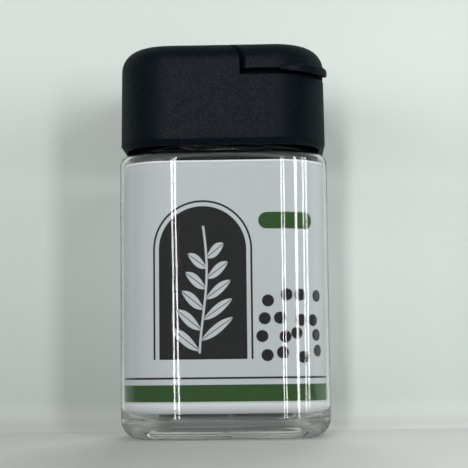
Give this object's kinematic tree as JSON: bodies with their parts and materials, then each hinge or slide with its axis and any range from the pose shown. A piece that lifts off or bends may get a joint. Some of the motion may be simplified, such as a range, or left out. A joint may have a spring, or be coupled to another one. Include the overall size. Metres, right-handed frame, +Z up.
{
  "type": "seasoning bottle",
  "caption": "Square clear seasoning bottle with a matte screw cap, a pour flap and a shaker flap on opposite corners, and a printed card curled inside.",
  "frame": {"origin": "centre of the base, on the surface that the bottle stands on", "axes": "+Z up along the bottle, -Y out of the front, +X to the right seen from the front; the pour flap is on the corner between +X and -Y"},
  "size_m": [0.0546, 0.0546, 0.101],
  "materials": {
    "clear_plastic": "clear, glossy, moulded",
    "printed_card": "printed, satin",
    "soft_seal": "soft, matte",
    "black_plastic": "fine grained, matte",
    "inner_plastic": "smooth, satin",
    "lid_plastic": "fine grained, matte"
  },
  "bodies": {
    "bottle": {"bottle_body": "clear_plastic", "label_card": "printed_card"},
    "seal": {"sealing_ring": "soft_seal"},
    "cap": {"cap_shell": "black_plastic", "inner_cap": "inner_plastic", "hinge_strip": "lid_plastic", "pour_hinge_web": "lid_plastic", "shaker_hinge_web": "lid_plastic"},
    "pour_flap": {"pour_flap": "lid_plastic"},
    "shaker_flap": {"shaker_flap": "lid_plastic"}
  },
  "joints": [
    {"name": "cap_lift", "type": "slide", "parent": "bottle", "child": "seal", "axis": [0, 0, 1], "range_m": [0, 0.018]},
    {"name": "cap_turn", "type": "hinge", "parent": "seal", "child": "cap", "pos_m": [0, 0, 0.08925], "axis": [0, 0, 1], "range_deg": [0, 810]},
    {"name": "pour_flap_hinge", "type": "hinge", "parent": "cap", "child": "pour_flap", "pos_m": [0.00438, -0.00438, 0.10063], "axis": [-0.7071, -0.7071, 0], "range_deg": [0, 100], "deforming": ["pour_hinge_web"]},
    {"name": "shaker_flap_hinge", "type": "hinge", "parent": "cap", "child": "shaker_flap", "pos_m": [-0.00438, 0.00438, 0.10063], "axis": [0.7071, 0.7071, 0], "range_deg": [0, 100], "deforming": ["shaker_hinge_web"]}
  ],
  "couplings": [
    {"joint": "cap_lift", "follows": "cap_turn", "m_per_rad": 0.0012732}
  ]
}
